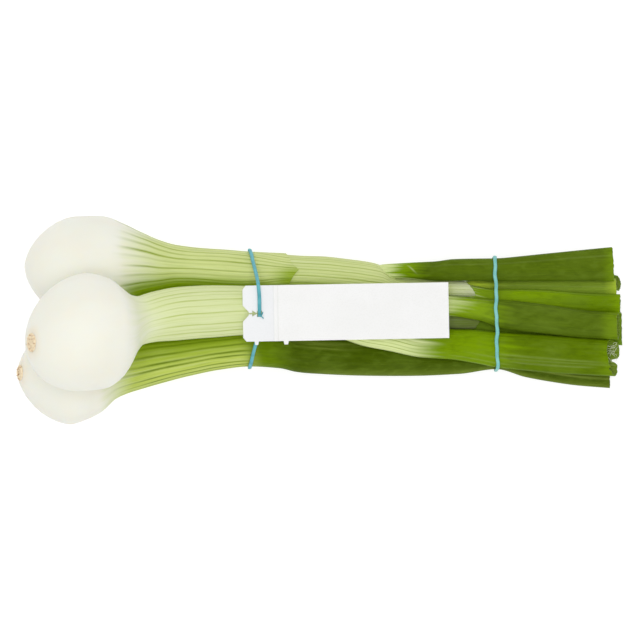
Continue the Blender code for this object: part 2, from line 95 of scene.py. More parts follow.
LEAVES = {
    "onion_a_leaf_1": [
        (22, 22.3, 19.8, 2.6, 2.6), (32, 24.4, 20.2, 3.6, 3), (39, 24.7, 20.6, 3.8, 3.1),
        (44, 24.8, 20.8, 4, 3.3), (50, 24.6, 20.9, 4.5, 3.5), (57, 24.5, 20.9, 4.9, 3.8),
        (67, 25.1, 20.8, 5.5, 4.2), (88.5, 25.3, 19.8, 5.8, 4.3), (100, 25.7, 19.4, 6.3, 4.2),
        (120, 26.8, 18.4, 7.3, 4.1), (147.2, 28.1, 16.5, 8.7, 3.8),
    ],
    "onion_a_leaf_2": [
        (58, 15.7, 13.6, 3, 2.6), (71.8, 16, 12.1, 3.4, 2.6), (80, 16.6, 11.4, 3.8, 2.8),
        (88.5, 16.8, 11.1, 4, 2.9), (105, 16.6, 10.7, 4.2, 2.9), (125, 16.2, 10.5, 4.7, 2.9),
        (149.2, 16, 10.2, 4.9, 2.8),
    ],
    "onion_a_leaf_3": [
        (58, 15, 16.2, 2.6, 2.4), (72.6, 14.4, 17.2, 3.3, 2.4), (80, 12.4, 16.6, 4.4, 2.6),
        (88.5, 10.6, 15.4, 5, 2.6), (108, 10, 15, 5.2, 2.6), (125, 8.9, 14.8, 5.3, 2.6),
        (137, 8, 14.8, 5.3, 2.6), (150.7, 7.7, 15.2, 5.3, 2.6),
    ],
    "onion_a_leaf_4": [
        (24, 22.5, 14, 2.3, 2.4), (36.4, 24.8, 12.9, 2.6, 2.6), (44, 25.2, 12.3, 3.6, 3.2),
        (88.5, 25.6, 10.6, 4.5, 3.6), (105, 25.6, 7.6, 4.4, 3.2), (120, 25, 3.6, 4.1, 2.9),
        (132, 22.6, 2.7, 4, 2.7), (149.2, 18.9, 2.5, 3.8, 2.7),
    ],
    "onion_b_leaf_1": [
        (-12, 7.6, 35, 4.6, 5.4), (8.2, 8, 34.2, 5.6, 6.6), (35, 8, 29.4, 5.9, 5.6),
        (64.5, 7, 24.6, 5.1, 4.8), (80.5, 5.2, 22.3, 5.7, 4.6), (90, 3.1, 21.6, 7.2, 4.6),
        (100, 1.9, 21.6, 7.5, 4.4), (117, -0.1, 21.8, 7.3, 4.2), (130, -1.9, 22, 7, 4.2),
        (146, -2.9, 22.2, 6.8, 4.2),
    ],
    "onion_b_leaf_2": [
        (-12, -2.6, 33, 4.4, 5.6), (7.6, -3.2, 32.4, 5.6, 7.2), (23, -6, 30, 7.3, 6.2),
        (34.5, -8, 28.2, 7.5, 5.8), (50, -11, 25.6, 7.6, 5.4), (65, -12.1, 23.8, 7.6, 5.1),
        (76.8, -13.2, 22.4, 8.3, 5), (88.5, -14.9, 21.6, 8.8, 5), (103.5, -16.2, 21.4, 9.2, 4.8),
        (121, -17.5, 21.2, 9.4, 4.6), (144.6, -18.9, 21, 9.2, 4.5),
    ],
    "onion_b_leaf_3": [
        (-12, 3.4, 26, 5, 2.6), (7.4, 3, 22.8, 6.2, 2.8), (35, 1.6, 17, 7, 3.6),
        (64.5, -0.4, 12.8, 7, 3.9), (88.5, -1.6, 10.9, 7.1, 4), (115, -3.2, 11.2, 7.9, 3.9),
        (152, -4.5, 11.2, 8.3, 3.8),
    ],
    "onion_c_leaf_2": [
        (-44, -11.4, 15, 4, 2.2), (-28.4, -10.4, 12.6, 4.6, 2.3), (0, -8.6, 9.8, 5.2, 3),
        (40, -8.2, 6.6, 5.2, 3), (88.5, -9.5, 4.9, 4.6, 2.3), (115, -11.6, 3.8, 4.6, 3),
        (147, -13.2, 4.2, 4.6, 3.3),
    ],
}
# The third onion's stem runs on into this leaf without an edge.
LEAF_C_1 = [
    (-20, -14.4, 20.9, 9.9, 7.6), (-12, -15.8, 20.3, 10.3, 6.8), (-5.5, -16.4, 19.6, 10.4, 6.6),
    (20, -17.6, 17, 10.4, 6.2), (50, -18, 14.4, 10.1, 5.4), (70, -18, 12.8, 9.2, 4.7),
    (88.5, -17.1, 11, 7.7, 4.1), (103.5, -21.3, 9.2, 7.5, 4.2), (117, -24, 6.4, 7.3, 4.2),
    (130, -25.7, 4.4, 7.4, 4.2), (146, -26.8, 4, 7.6, 4.1),
]
# The inner sheath of the middle onion, in the gap between its two upper leaves.
CORE_B = [
    (-10, 1, 27, 4, 3), (30, 0.4, 24, 3.8, 2.4), (62, -0.8, 19.6, 3.6, 1.8),
    (80, -1.6, 17.8, 2.6, 1.2),
]

# How far each cut end reaches past its last station, in mm, by degrees round the leaf:
# 0 is its +Y side, 90 its top, 180 its -Y side and 270 its underside.
CUT_ENDS = {
    "onion_a_leaf_1": [(0, -0.7), (90, -0.1), (180, 0.6), (270, 0.4)],
    "onion_a_leaf_2": [(0, -0.4), (90, -0.1), (180, 0.1), (270, 0.5)],
    "onion_a_leaf_3": [(0, 0.2), (90, -0.2), (180, 0.1), (270, 0.5)],
    "onion_a_leaf_4": [(0, 1), (50, 0.2), (90, 0), (140, 0.3), (180, 1.6), (270, 3.3)],
    "onion_b_leaf_1": [(0, 3.7), (30, 3), (60, 2.7), (120, 2.8), (158, 3.2), (180, 3.7), (270, 4.3),
                       (335, 4)],
    "onion_b_leaf_2": [(0, 0.6), (50, -0.9), (75, -1), (90, -0.4), (112, -0.1), (118, 1.2), (124, 0.2),
                       (132, 0.3), (138, 1.6), (165, 2.6), (190, 3.8), (215, 4.7), (246, 4.6), (253, 3.6),
                       (257, 2), (263, 2), (267, 5), (275, 5.7), (300, 5.8), (322, 5.2), (340, 3)],
    "onion_b_leaf_3": [(0, -0.2), (90, -0.5), (180, 0), (270, 0.2)],
    "onion_c_leaf_2": [(0, 0.2), (90, -0.3), (180, 0.2), (270, 0.4)],
    "onion_c_leaf_1": [(0, -0.4), (90, -0.3), (140, 0.1), (180, 0.3), (270, 0.7)],
}

# Which stem the first band passes, where along it, and the outer sheath's extra radius there.
STEM_BAND_STOPS = [
    ("a", -37.5, SHEATH_STEP), ("a", -33, SHEATH_STEP),
    ("b", -33.5, 0), ("b", -28.5, 0), ("c", -37, 0), ("c", -33, 0),
]


class Course:
    """A smooth line through stations, with its half width and half height, that never swings past them.

    Its sections lean with the line's rise and fall, and stand square to X as seen from above.
    """

    def __init__(self, stations):
        self.rows = np.array(stations, float)
        self.x = self.rows[:, 0]
        steps = np.diff(self.rows, axis=0) / np.diff(self.rows[:, :1], axis=0)
        before, after = steps[:-1], steps[1:]
        same_way = before * after > 0
        total = np.where(same_way, before + after, 1.0)
        inner = np.where(same_way, 2 * before * after / total, 0.0)
        self.slopes = np.vstack([steps[:1], inner, steps[-1:]])

    def at(self, x):
        """Centre, side, up, half width and half height where the line passes each x."""
        x = np.asarray(x, float)
        i = np.clip(np.searchsorted(self.x, x, "right") - 1, 0, len(self.x) - 2)
        step = (self.x[i + 1] - self.x[i])[..., None]
        t = (x - self.x[i])[..., None] / step
        start, end = self.rows[i], self.rows[i + 1]
        m0, m1 = self.slopes[i] * step, self.slopes[i + 1] * step
        row = (2 * t**3 - 3 * t**2 + 1) * start + (t**3 - 2 * t**2 + t) * m0
        row = row + (3 * t**2 - 2 * t**3) * end + (t**3 - t**2) * m1
        slope = (6 * t**2 - 6 * t) * start + (3 * t**2 - 4 * t + 1) * m0
        slope = slope + (6 * t - 6 * t**2) * end + (3 * t**2 - 2 * t) * m1
        level = 0.0 * step[..., 0]
        up = unit(np.stack([-slope[..., 2], level, step[..., 0]], -1))
        side = np.stack([level, level + 1.0, level], -1)
        return row[..., :3], side, up, row[..., 3], row[..., 4]


def unit(vectors):
    """The same directions with length one."""
    return vectors / np.linalg.norm(vectors, axis=-1, keepdims=True)


def ease(start, end, x):
    """0 before start and 1 after end, with a smooth rise between; start may be the larger."""
    t = np.clip((np.asarray(x, float) - start) / (end - start), 0, 1)
    return t * t * (3 - 2 * t)


def waves(seed, terms, longest, most_turns):
    """A gentle field over (x, angle) from -1 to 1, as a sum of slanted waves."""
    draw = Random(seed)
    parts = []
    for _ in range(terms):
        rate = math.tau / (longest * draw.uniform(0.35, 1.0))
        parts.append((rate, draw.randint(-most_turns, most_turns), draw.uniform(0, math.tau)))

    def field(x, angle):
        total = sum(np.sin(rate * x + turns * angle + phase) for rate, turns, phase in parts)
        return total / terms

    return field


# The deep share is a deeper green that is partly the skin's own and partly painted shade.
CHANNELS = ("green", "vein", "deep", "warm", "leaf", "light", "inside", "dark")


def painted(like, **shares):
    """The eight shares at each point of an array; those not named are 0."""
    return np.stack([np.broadcast_to(shares.get(name, 0.0), like.shape) for name in CHANNELS], -1)


class Shape:
    """Grids of points that become one mesh."""

    def __init__(self):
        self.points, self.paint, self.faces, self.uvs = [], [], [], []
        self.count = 0

    def tube(self, grid, along, paint):
        """A tube of points grid[row, column], closed at both ends."""
        rows, columns = grid.shape[:2]
        index = self.count + np.arange(rows * columns).reshape(rows, columns)
        after = np.roll(index, -1, axis=1)
        quads = np.stack([index[:-1], after[:-1], after[1:], index[1:]], -1).reshape(-1, 4)
        self.faces += quads.tolist() + [index[0].tolist(), index[-1].tolist()]
        u = np.broadcast_to(np.asarray(along)[:, None] / 100, (rows, columns))
        low = np.broadcast_to(np.arange(columns) / columns, (rows, columns))
        high = low + 1 / columns
        corners = [(u[:-1], low[:-1]), (u[:-1], high[:-1]), (u[1:], high[1:]), (u[1:], low[1:])]
        uv = np.stack([np.stack(c, -1) for c in corners], -2).reshape(-1, 2)
        ends = [np.stack([u[k], low[k]], -1) for k in (0, -1)]
        self.uvs += [uv, *ends]
        self.points.append(grid.reshape(-1, 3))
        self.paint.append(np.broadcast_to(paint, (rows, columns, 8)).reshape(-1, 8))
        self.count += rows * columns

    def made(self, name, look):
        """The named object, in metres."""
        data = bpy.data.meshes.new(name)
        points = np.concatenate(self.points) * MM
        data.from_pydata(points.tolist(), [], self.faces)
        data.materials.append(look)
        layer = data.uv_layers.new(name="UVMap")
        layer.data.foreach_set("uv", np.concatenate(self.uvs).ravel())
        paint = np.concatenate(self.paint)
        for attribute, part in (("paint", paint[:, :4]), ("more", paint[:, 4:])):
            layer = data.attributes.new(attribute, "FLOAT_COLOR", "POINT")
            layer.data.foreach_set("color", part.ravel())
        return finished(name, data)


def linked(name, data):
    """A new object of this data, in the scene."""
    made = bpy.data.objects.new(name, data)
    bpy.context.scene.collection.objects.link(made)
    return made


def finished(name, data, sharp=48):
    """An object of this mesh, its normals outward, smooth up to an edge of sharp degrees."""
    mesh = bmesh.new()
    mesh.from_mesh(data)
    bmesh.ops.recalc_face_normals(mesh, faces=mesh.faces)
    mesh.to_mesh(data)
    mesh.free()
    data.shade_smooth()
    data.set_sharp_from_angle(angle=math.radians(sharp))
    return linked(name, data)


def piece(made, slot, *nodes):
    """The object rides on the bunch and stands for these nodes; slot is not used."""
    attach(made, "root")
    if nodes:
        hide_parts(*nodes)
    return made


def srgb(red, green, blue):
    """A linear colour with alpha from sRGB values of 0 to 255."""
    shares = [value / 255 for value in (red, green, blue)]
    return (*[s / 12.92 if s <= 0.04045 else ((s + 0.055) / 1.055) ** 2.4 for s in shares], 1.0)


class Look:
    """A node material; each call adds a node and gives back what it puts out."""

    def __init__(self, name, roughness, **sockets):
        self.material = bpy.data.materials.new(name)
        self.material.use_nodes = True
        self.tree = self.material.node_tree
        self.shader = self.tree.nodes["Principled BSDF"]
        self.shader.inputs["Roughness"].default_value = roughness
        for socket, value in sockets.items():
            self.shader.inputs[socket.replace("_", " ")].default_value = value

    def node(self, kind, inputs, **settings):
        made = self.tree.nodes.new("ShaderNode" + kind)
        for key, value in settings.items():
            setattr(made, key, value)
        for key, value in inputs.items():
            if isinstance(value, bpy.types.NodeSocket):
                self.tree.links.new(value, made.inputs[key])
            else:
                made.inputs[key].default_value = value
        return made

    def place(self, kind, *scale):
        """Texture coordinates of a kind, Object or UV, times a scale."""
        source = self.node("TexCoord", {}).outputs[kind]
        return self.node("Mapping", {"Vector": source, "Scale": scale}).outputs[0]

    def noise(self, vector, detail=2.0, distortion=0.0):
        inputs = {"Vector": vector, "Scale": 1.0, "Detail": detail, "Distortion": distortion}
        return self.node("TexNoise", inputs).outputs[0]

    def paint(self, name="paint"):
        """The four shares of an attribute."""
        source = self.node("Attribute", {}, attribute_name=name)
        split = self.node("SeparateColor", {"Color": source.outputs["Color"]})
        return [*split.outputs, source.outputs["Alpha"]]

    def math(self, operation, a, b=0.0):
        return self.node("Math", {0: a, 1: b}, operation=operation, use_clamp=True).outputs[0]

    def rise(self, value, start, end, low=0.0, high=1.0):
        """low before start and high after end, with a smooth rise between."""
        inputs = {"Value": value, "From Min": start, "From Max": end, "To Min": low, "To Max": high}
        return self.node("MapRange", inputs, interpolation_type="SMOOTHSTEP").outputs[0]

    def mix(self, share, a, b):
        """Colours a and b mixed, with share of b."""
        return self.node("Mix", {0: share, 6: a, 7: b}, data_type="RGBA").outputs[2]

    def colour(self, value):
        self.tree.links.new(value, self.shader.inputs["Base Color"])

    def rough(self, value):
        self.tree.links.new(value, self.shader.inputs["Roughness"])

    def bump(self, height, strength, depth):
        """Small relief of this height; depth is in millimetres."""
        inputs = {"Height": height, "Strength": strength, "Distance": depth * MM}
        made = self.node("Bump", inputs).outputs[0]
        self.tree.links.new(made, self.shader.inputs["Normal"])


WHITE = srgb(237, 237, 226)
CREAM = srgb(239, 227, 203)


def plant_look(name, pale, deep, vein, bright, dark, bloom, inside):
    """Onion skin: a white bulb, a lined green stem and a smooth or waxy leaf, by painted shares, some of
    them painted shade and painted highlights.
    """
    look = Look(name, 0.45, Specular_IOR_Level=0.05, Subsurface_Scale=0.004)
    look.shader.inputs["Subsurface Radius"].default_value = (1.0, 0.85, 0.6)
    green, line, deeper, warm = look.paint()
    leafy, light, inner, darker = look.paint("more")
    streak = look.noise(look.place("UV", 3, 60, 1), detail=3)
    fine = look.noise(look.place("UV", 6, 190, 1), detail=2)
    cloud = look.noise(look.place("Object", 40, 60, 60), detail=3)
    skin = look.mix(look.rise(cloud, 0.35, 0.7, 0.0, 0.3), WHITE, look.mix(0.5, WHITE, CREAM))
    reach = look.math("ADD", green, look.rise(streak, 0.3, 0.7, -0.1, 0.1))
    reach = look.math("MULTIPLY", reach, look.rise(green, 0.0, 0.2))
    skin = look.mix(reach, skin, look.mix(look.rise(fine, 0.4, 0.8, 0, 0.25), pale, vein))
    # Deeper green by the deep share, which holds painted shade as well as the stem's own deeper green;
    # veins there turn darker too.
    skin = look.mix(look.math("MULTIPLY", deeper, look.rise(streak, 0.2, 0.6, 0.8, 1.0)), skin, deep)
    line = look.math("MULTIPLY", line, look.rise(cloud, 0.3, 0.6, 0.7, 1.0))
    skin = look.mix(line, skin, look.mix(deeper, vein, look.mix(0.5, deep, srgb(50, 74, 0))))
    leaf = look.mix(darker, bright, dark)
    leaf = look.mix(look.rise(streak, 0.3, 0.65, 0.3, 0.0), leaf, look.mix(0.45, leaf, srgb(20, 40, 0)))
    leaf = look.mix(look.rise(fine, 0.45, 0.8, 0, 0.2), leaf, look.mix(0.4, bright, bloom))
    leaf = look.mix(look.rise(cloud, 0.42, 0.72, 0, 0.28), leaf, bloom)
    mottle = look.noise(look.place("Object", 170, 420, 420), detail=4, distortion=0.4)
    leaf = look.mix(look.rise(mottle, 0.5, 0.72, 0, 0.4), leaf, look.mix(0.55, leaf, bloom))
    leaf = look.mix(look.rise(mottle, 0.5, 0.3, 0, 0.35), leaf, look.mix(0.45, leaf, srgb(24, 44, 0)))
    base = look.mix(leafy, skin, leaf)
    thin = look.rise(fine, 0.3, 0.6, 0.45, 1.0)
    # Pale marks and painted highlight lines, by the light share, mixed towards a pale waxy green.
    base = look.mix(look.math("MULTIPLY", light, thin), base, look.mix(0.45, bloom, pale))
    # The inner wall's green, which grows darker deeper in the hollow: painted shade in the recess.
    base = look.mix(inner, base, look.mix(look.rise(streak, 0.35, 0.65, 0, 0.12), inside, pale))
    look.colour(look.mix(look.rise(warm, 0.1, 1.0), base, CREAM))
    look.rough(look.rise(cloud, 0.3, 0.7, 0.38, 0.52))
    soft = look.rise(look.math("ADD", green, leafy), 0.0, 0.8, 0.5, 0.06)
    look.tree.links.new(soft, look.shader.inputs["Subsurface Weight"])
    height = look.math("MULTIPLY", look.math("ADD", streak, fine), look.rise(green, 0, 0.5))
    look.bump(height, 0.3, 0.1)
    return look.material


def root_look(name, body, dark, tip):
    """Trimmed roots: dry and fibrous."""
    look = Look(name, 0.8, Specular_IOR_Level=0.2)
    share, speck = look.paint()[:2]
    cloud = look.noise(look.place("Object", 900, 900, 900), detail=4)
    base = look.mix(look.rise(cloud, 0.52, 0.7), body, dark)
    base = look.mix(share, base, tip)
    look.colour(look.mix(speck, base, dark))
    look.bump(cloud, 0.5, 0.2)
    return look.material


def rubber_look(name, body, dark):
    """A stretched rubber band: faintly cloudy, with its edges darker."""
    look = Look(name, 0.5, Specular_IOR_Level=0.35, Subsurface_Weight=0.1, Subsurface_Scale=0.001)
    edge = look.paint()[0]
    cloud = look.noise(look.place("Object", 260, 260, 260), detail=3)
    grain = look.noise(look.place("Object", 2600, 2600, 2600), detail=2)
    base = look.mix(look.rise(cloud, 0.35, 0.7, 0, 0.6), body, dark)
    look.colour(look.mix(look.math("MULTIPLY", edge, 0.6), base, dark))
    look.rough(look.rise(grain, 0.3, 0.7, 0.42, 0.6))
    look.bump(grain, 0.3, 0.05)
    return look.material


def card_look(name, face, edge):
    """Coated card: a faint tooth on its face, and a greyer cut edge."""
    look = Look(name, 0.5, Specular_IOR_Level=0.35)
    share, crease, flap = look.paint()[:3]
    tooth = look.noise(look.place("Object", 1400, 1400, 1400), detail=3)
    cloud = look.noise(look.place("Object", 60, 60, 60), detail=2)
    base = look.mix(look.rise(cloud, 0.35, 0.65, 0, 0.25), face, look.mix(0.3, face, edge))
    base = look.mix(look.rise(tooth, 0.45, 0.7, 0, 0.12), base, edge)
    base = look.mix(look.math("MULTIPLY", crease, 0.35), base, edge)
    base = look.mix(look.math("MULTIPLY", flap, 0.25), base, srgb(226, 231, 240))
    look.colour(look.mix(share, base, edge))
    look.rough(look.rise(tooth, 0.3, 0.7, 0.45, 0.6))
    look.bump(tooth, 0.2, 0.03)
    return look.material


def bulb_stations(bulb, count):
    """Stations from the root end to the bulb's widest place, on a quarter circle or a tapered one."""
    centre, root, radius, bow, taper, plate = bulb
    centre, root, bow = Vector(centre), Vector(root), Vector(bow)
    start = math.asin((plate / radius) ** (1 / taper))
    rows = []
    for angle in np.linspace(start, math.pi / 2, count):
        share = math.cos(angle) / math.cos(start)
        place = centre + (root - centre) * share + bow * share * (1 - share)
        half = radius * math.sin(angle) ** taper
        rows.append((*place, half, half))
    return rows


def vein_columns(count, seed, half_width, faint=(0.15, 0.55)):
    """Angles round a stem, with each one's share of a vein, every other one faint, and of an arch."""
    draw = Random(seed)
    centres = [(k + draw.uniform(-0.24, 0.24)) * math.tau / count for k in range(count)]
    columns = []
    for k, (here, after) in enumerate(zip(centres, centres[1:] + [centres[0] + math.tau])):
        strength = draw.uniform(0.8, 1.0) if k % 2 else draw.uniform(*faint)
        wide = half_width * draw.uniform(0.8, 1.2)
        columns += [(here - wide, 0.0, 0.1), (here, strength, 0.0), (here + wide, 0.0, 0.1)]
        for share in (0.35, 0.5, 0.65):
            columns.append((here + (after - here) * share, 0.0, math.sin(math.pi * share)))
    return np.array(sorted(columns)).T


def loft(course, x, angle, grow):
    """Points round the course; x, angle and grow are [row, column] arrays."""
    centre, side, up, wide, high = course.at(x)
    across = side * ((wide + grow) * np.cos(angle))[..., None]
    points = centre + across + up * ((high + grow) * np.sin(angle))[..., None]
    points[..., 2] = np.maximum(points[..., 2], 0.0)
    return points


def spaced(start, end, step):
    """Places from start to end, about step apart."""
    return np.linspace(start, end, max(2, math.ceil(abs(end - start) / step) + 1))


def reaches(table, angle, seed, ragged):
    """How far a cut end reaches at each angle, with small seeded teeth."""
    degrees = np.degrees(angle) % 360
    knots = [row[0] for row in table] + [360 + table[0][0]]
    values = [row[1] for row in table] + [table[0][1]]
    draw = Random(seed)
    teeth = [draw.uniform(-1, 1) for _ in range(41)]
    places = np.linspace(0, 360, 42)
    return np.interp(degrees, knots, values) + ragged * np.interp(degrees, places, teeth + teeth[:1])


ONIONS = {
    "a": dict(veins=28, wide=0.052, faint=(0.15, 0.55), fade=(-107, -76), lines=(-106, -90)),
    "b": dict(veins=28, wide=0.042, faint=(0.15, 0.55), fade=(-108, -78), lines=(-100, -76)),
    "c": dict(veins=22, wide=0.066, faint=(0.7, 1), fade=(-115, -90), lines=(-106, -84)),
}


def onion_surface(letter, stem, end, cut, ragged, seed, step=0.0):
    """The course and the rows of places, angles and relief of a bulb and its stem up to a sheath end."""
    facts = ONIONS[letter]
    bulb = BULBS[letter]
    cap = bulb_stations(bulb, 26)
    course = Course(cap + stem)
    angles, vein, arch = vein_columns(facts["veins"], seed, facts["wide"], facts["faint"])
    places = np.concatenate([[row[0] for row in cap], spaced(bulb[0][0] + 1.5, end, 1.5)])
    lean = reaches(cut, angles, seed, ragged)
    x = places[:, None] + lean * ease(end - 22, end, places)[:, None]
    sway = 0.035 * waves(seed, 4, 60, 2)(x, angles)
    angle = angles + sway * ease(-110, -80, x)
    start, full = facts["lines"]
    reach = waves(seed + 3, 5, 300, 13)(0 * x, angle)
    ribbed = ease(start, full, x + 7 * reach)
    grow = ribbed * (0.08 * arch - 0.03 * vein) + step * ease(-66, -44, x)
    grow += 0.08 * (waves(seed + 1, 5, 70, 3)(x, angle) - 1) * ease(-150, -135, x)
    return course, places, x, angle, grow, vein * ribbed


def green_share(letter, x, angle):
    """How green the skin is, from the white bulb to the stem."""
    start, end = ONIONS[letter]["fade"]
    return ease(start, end, x + 4.0 * waves(7, 4, 200, 5)(x, angle))


def facing(angle, degrees, sharp):
    """1 where the skin faces this way round the stem, and 0 on the far side."""
    return ease(sharp, 1.0, np.cos(angle - math.radians(degrees)))


def away(angle, middle):
    """How far each angle is from the middle one, from -pi to pi."""
    return (angle - middle + math.pi) % math.tau - math.pi


def patch(x, angle, place, size):
    """A soft spot on the skin, at (mm, degrees) and with (mm, degrees) as its half size."""
    off = away(angle, math.radians(place[1]))
    return np.exp(-(((x - place[0]) / size[0]) ** 2) - (off / math.radians(size[1])) ** 2)


def warm_share(letter, points):
    """1 at the root end of the bulb, fading out a little way up."""
    bulb = BULBS[letter]
    distance = np.linalg.norm(points - np.array(bulb[1]), axis=-1)
    return 0.6 * (1 - ease(bulb[5], bulb[5] + 8, distance))


def sheath(course, x, angle, grow, grid, places, paint, wall):
    """A skin that ends in a thin edge, turned in and closed a little way back inside."""
    rim = loft(course, x[-1:], angle[-1:], grow[-1:] - wall)
    back = loft(course, x[-1:] - 4.0, angle[-1:], grow[-1:] - wall - 0.4)
    along = np.concatenate([places, [places[-1] + wall, places[-1] + 4]])
    shape = Shape()
    shape.tube(np.concatenate([grid, rim, back]), along, np.concatenate([paint, paint[-1:], paint[-1:]]))
    return shape


def onion_a(look):
    """The first onion's bulb and its outer sheath, which ends in a point."""
    tip = [(0, -5.4), (40, -3.4), (72, 0.0), (110, -2.8), (150, -5.4), (200, -7.4), (290, -8.2)]
    course, places, x, angle, grow, vein = onion_surface("a", STEM_A, -10.9, tip, 0.08, 11, SHEATH_STEP)
    angle = angle - 0.5 * ease(-40, -11, x) * np.sin(angle - math.radians(80))
    grid = loft(course, x, angle, grow)
    turned = np.degrees(angle) % 360
    # Painted shade and deeper green on the side towards the middle onion, which lies over it; the
    # sheath's tip is greener.
    deep = ease(98, 134, turned) * ease(290, 230, turned) * ease(-108, -92, x)
    tip_green = 0.9 * ease(-15, -1, x - x[-1:]) * ease(56, 90, turned) * ease(150, 118, turned)
    deep = np.maximum(deep, tip_green)
    paint = painted(x, green=green_share("a", x, angle), vein=vein, deep=deep, warm=warm_share("a", grid))
    shape = sheath(course, x, angle, grow, grid, places, paint, 0.45)
    return piece(shape.made("onion_a_skin", look), "onion_white", "onion_a_bulb")


def stem_a(look):
    """The inner stem of the first onion, up to the dry edge where its leaves part."""
    course = Course(STEM_A)
    angles, vein, arch = vein_columns(34, 21, 0.04)
    places = spaced(-34, 71, 1.4)
    dry_edge = [(0, 0.5), (40, 1.5), (70, 3.6), (100, 6.0), (125, 6.4), (150, 4.2), (180, 1.0)]
    dry_edge += [(220, -1.0), (300, 0.5)]
    lean = reaches(dry_edge, angles, 22, 0.4)
    x = places[:, None] + lean * ease(50, 71, places)[:, None]
    angle = angles + 0.04 * waves(23, 4, 45, 2)(x, angles)
    ribbed = ease(-34, -24, x)
    grow = 0.06 * arch - 0.02 * vein + 0.06 * (waves(24, 5, 40, 3)(x, angle) - 1)
    grow = grow + 1.7 * ease(54, 74, x) * ease(0.1, 0.9, np.sin(angle))
    grow = grow + 0.8 * ease(-12, 4, x) * ease(47, 35, x)
    dry = ease(58, 74, x)
    turned = np.degrees(angle) % 360
    # Painted shade and deeper green on the side under the middle onion, fading out along the stem.
    deep = 0.8 * ease(100, 124, turned) * ease(290, 230, turned) * ease(50, 10, x)
    paint = painted(x, green=1 - 0.45 * dry, vein=vein * ribbed, deep=deep, light=0.5 * dry * arch)
    shape = sheath(course, x, angle, grow, loft(course, x, angle, grow), places, paint, 0.4)
    return piece(shape.made("onion_a_inner_stem", look), "onion_white")


def onion_b(look):
    """The middle onion, whose sheath ends under the card."""
    edge = [(0, -2.0), (60, 0.0), (120, -3.0), (180, -5.0), (270, -1.0)]
    course, places, x, angle, grow, vein = onion_surface("b", STEM_B, 6.0, edge, 0.2, 31)
    grid = loft(course, x, angle, grow)
    deep = 0.3 * facing(angle, 270, 0.2) * ease(-92, -70, x)
    paint = painted(x, green=green_share("b", x, angle), vein=vein, deep=deep, warm=warm_share("b", grid))
    shape = sheath(course, x, angle, grow, grid, places, paint, 0.6)
    return piece(shape.made("onion_b_skin", look), "onion_white", "onion_b_bulb")


def core_b(look):
    """A strip of inner sheath between the middle onion's upper leaves."""
    course = Course(CORE_B)
    angles, vein, arch = vein_columns(16, 41, 0.07)
    places = spaced(-10, 80, 2)
    x = places[:, None] + (1.8 * np.cos(angles) - 0.5) * ease(66, 80, places)[:, None]
    angle = angles + 0.04 * (80 - x) * np.sin(angles) * ease(50, 80, x)
    # The strip is painted dark all over: painted shade for the gap between the leaves that it lies in.
    paint = painted(x, green=0.9, vein=vein, deep=0.35, light=0.45 * patch(x, angle, (72, 85), (7, 40)))
    shape = Shape()
    shape.tube(loft(course, x, angle, 0.06 * arch + 0 * x), places, paint)
    return piece(shape.made("onion_b_inner_sheath", look), "onion_white")


def onion_c(look):
    """The third onion, whose lined stem turns into its first leaf without an edge."""
    stations = STEM_C[:-1] + LEAF_C_1
    end = LEAF_C_1[-1][0]
    course, places, x, angle, grow, vein = onion_surface(
        "c", stations, end, CUT_ENDS["onion_c_leaf_1"], 0.2, 51
    )
    leafy = ease(-42, -27, x + 3 * waves(53, 4, 60, 3)(x, angle))
    grow = grow * (1 - 0.8 * leafy) + leafy * crease_relief(angle, x, [(112, 0.3), (60, -0.2)])
    grid = loft(course, x, angle, grow)
    # Painted shade and deeper green on the upper side, where the middle onion lies over it.
    deep = facing(angle, 20, -0.25) * ease(-118, -96, x)
    # Pale stripes, a painted highlight along the crease near the cut end, and a painted reflection along
    # the -Y edge.
    stripes = 0.6 * patch(x, angle, (0, 62), (17, 6)) + 0.4 * patch(x, angle, (2, 76), (13, 3))
    line = crease_relief(angle, x, [(112, 0.5)]) * ease(92, 104, x)
    light = np.clip(stripes + line + 0.3 * facing(angle, 180, 0.6) * ease(-16, 10, x), 0, 1)
    paint = painted(
        x, green=green_share("c", x, angle), vein=vein * (1 - leafy), deep=deep, leaf=leafy,
        light=light, dark=ease(-26, -12, x), warm=warm_share("c", grid),
    )
    shape = Shape()
    shape.tube(*open_end(course, x, angle, grow, places, paint))
    return piece(shape.made("onion_c_skin", look), "onion_white", "onion_c_bulb", "onion_c_leaf_1")


def crease_relief(angle, x, creases):
    """Low ridges along a leaf; each crease is (degrees, height)."""
    total = 0.0 * (angle + x)
    for degrees, height in creases:
        off = away(angle, math.radians(degrees))
        total = total + height * np.exp(-((off / 0.09) ** 2)) * ease(0, 60, x + 60)
    return total


# The scratch: its place and half size in (mm, degrees), its slant in degrees per mm, its width.
NICK_PLACE = (46, 76)
NICK_SIZE = (2.6, 36)
NICK_SLANT = 13
NICK_WIDTH = 7
